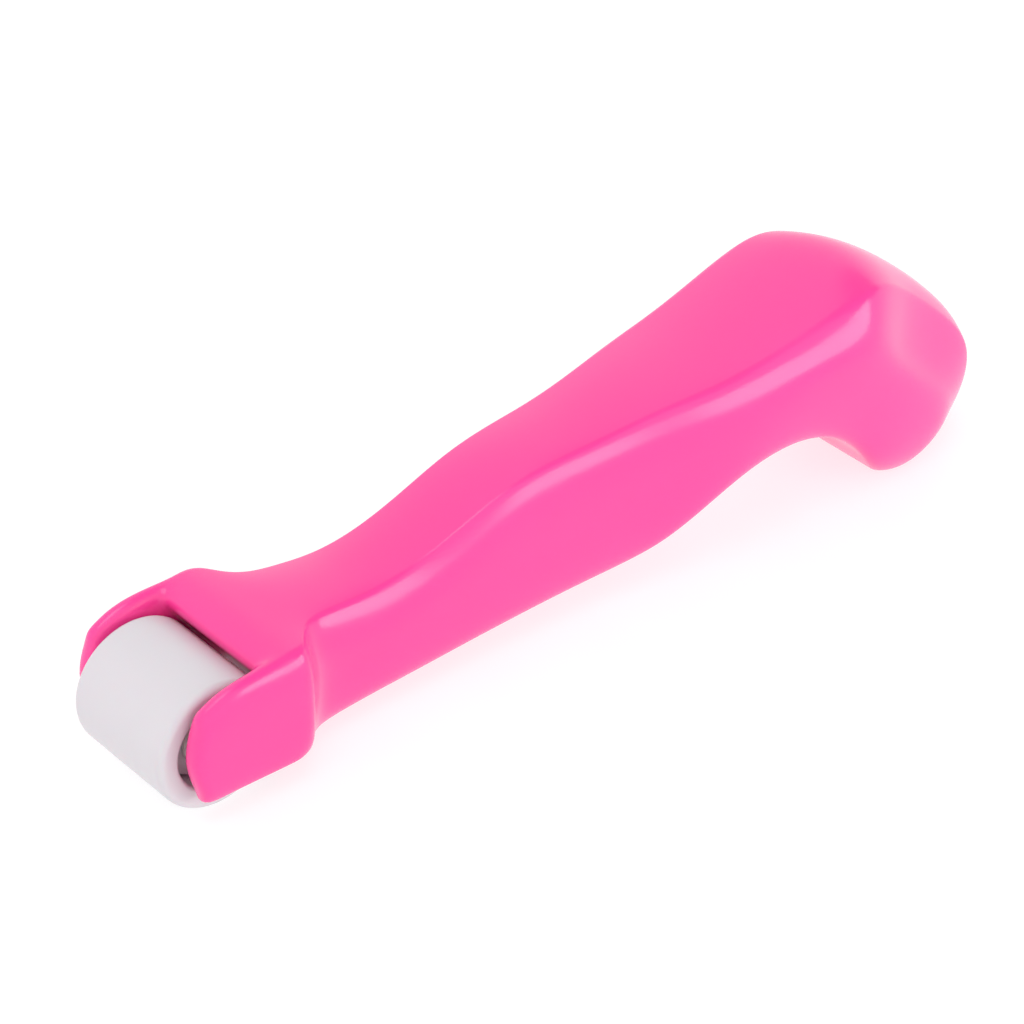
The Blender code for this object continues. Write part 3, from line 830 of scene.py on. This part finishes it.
def add_world():
    """The studio's walls: a bright tent with one soft dark opening, high up past the tail."""
    world = bpy.data.worlds.new("studio")
    bpy.context.scene.world = world
    world.use_nodes = True
    nodes = world.node_tree.nodes
    links = world.node_tree.links
    facing = nodes.new("ShaderNodeVectorMath")
    facing.operation = "DOT_PRODUCT"
    facing.inputs[1].default_value = direction_at(DARK_AZIMUTH, DARK_ELEVATION)
    links.new(nodes.new("ShaderNodeTexCoord").outputs["Generated"], facing.inputs[0])
    spread = nodes.new("ShaderNodeMapRange")
    spread.interpolation_type = "SMOOTHSTEP"
    spread.inputs["From Min"].default_value = math.cos(math.radians(DARK_RADIUS + DARK_BLUR))
    spread.inputs["From Max"].default_value = math.cos(math.radians(DARK_RADIUS - DARK_BLUR))
    spread.inputs["To Min"].default_value = TENT_LIGHT
    spread.inputs["To Max"].default_value = DARK_LIGHT
    links.new(facing.outputs["Value"], spread.inputs["Value"])
    nodes["Background"].inputs["Color"].default_value = (1.0, 1.0, 1.0, 1.0)
    links.new(spread.outputs["Result"], nodes["Background"].inputs["Strength"])


def add_camera():
    """A long lens, from the drum's end, the -Y side and about a third of the way up to overhead."""
    azimuth = math.radians(CAMERA_AZIMUTH)
    elevation = math.radians(CAMERA_ELEVATION)
    roll = math.radians(CAMERA_ROLL)
    target = place(*CAMERA_TARGET)
    back = Vector((
        math.sin(azimuth) * math.cos(elevation),
        -math.cos(azimuth) * math.cos(elevation),
        math.sin(elevation),
    ))
    right = Vector((math.cos(azimuth), math.sin(azimuth), 0.0))
    up = back.cross(right)
    tilted_right = math.cos(roll) * right + math.sin(roll) * up
    tilted_up = math.cos(roll) * up - math.sin(roll) * right
    turn = Matrix((tilted_right, tilted_up, back)).transposed()
    camera = bpy.data.cameras.new("camera")
    camera.sensor_width = CAMERA_SENSOR
    camera.lens = CAMERA_LENS
    camera.clip_start, camera.clip_end = CAMERA_CLIP
    item = bpy.data.objects.new("camera", camera)
    item.matrix_world = Matrix.Translation(target + back * CAMERA_DISTANCE * MM) @ turn.to_4x4()
    bpy.context.scene.collection.objects.link(item)
    bpy.context.scene.camera = item


def main():
    pink = moulded_plastic(
        "pink_plastic",
        colours=((0.93, 0.047, 0.295), (0.95, 0.053, 0.31)),
        roughness=(0.16, 0.21),
        mottle=25.0,
        texture=(1500.0, 0.05),
        subsurface=0.1,
    )
    white = moulded_plastic(
        "drum_plastic",
        colours=((0.63, 0.595, 0.63), (0.65, 0.615, 0.65)),
        roughness=(0.40, 0.48),
        mottle=40.0,
        texture=(2500.0, 0.08),
        subsurface=0.2,
    )
    nylon = moulded_plastic(
        "bush_plastic",
        colours=((0.80, 0.79, 0.74), (0.84, 0.83, 0.79)),
        roughness=(0.42, 0.5),
        mottle=60.0,
        texture=(2500.0, 0.08),
        subsurface=0.2,
    )
    pin_steel = ground_steel("pin_steel", colour=(0.62, 0.62, 0.64), roughness=(0.22, 0.36), grain=2600.0)
    screw_steel = ground_steel("screw_steel", colour=(0.56, 0.56, 0.58), roughness=(0.3, 0.42), grain=1800.0)

    hollow = hollow_mesh()
    holes = hole_mesh()
    add_handle(pink, hollow, holes)
    add_cover(pink, hollow, holes)
    add_screws(screw_steel)
    add_drum(white, nylon)
    add_pin(pin_steel)
    add_floor()
    add_world()
    add_softbox("strip", azimuth=-55.0, elevation=10.0, distance=0.6, size=(0.42, 0.2), luminance=3.7)
    add_softbox("ceiling", azimuth=-130.0, elevation=72.0, distance=1.0, size=(0.5, 0.5), luminance=2.0)
    add_camera()
    bpy.context.scene.view_settings.view_transform = "Standard"


main()
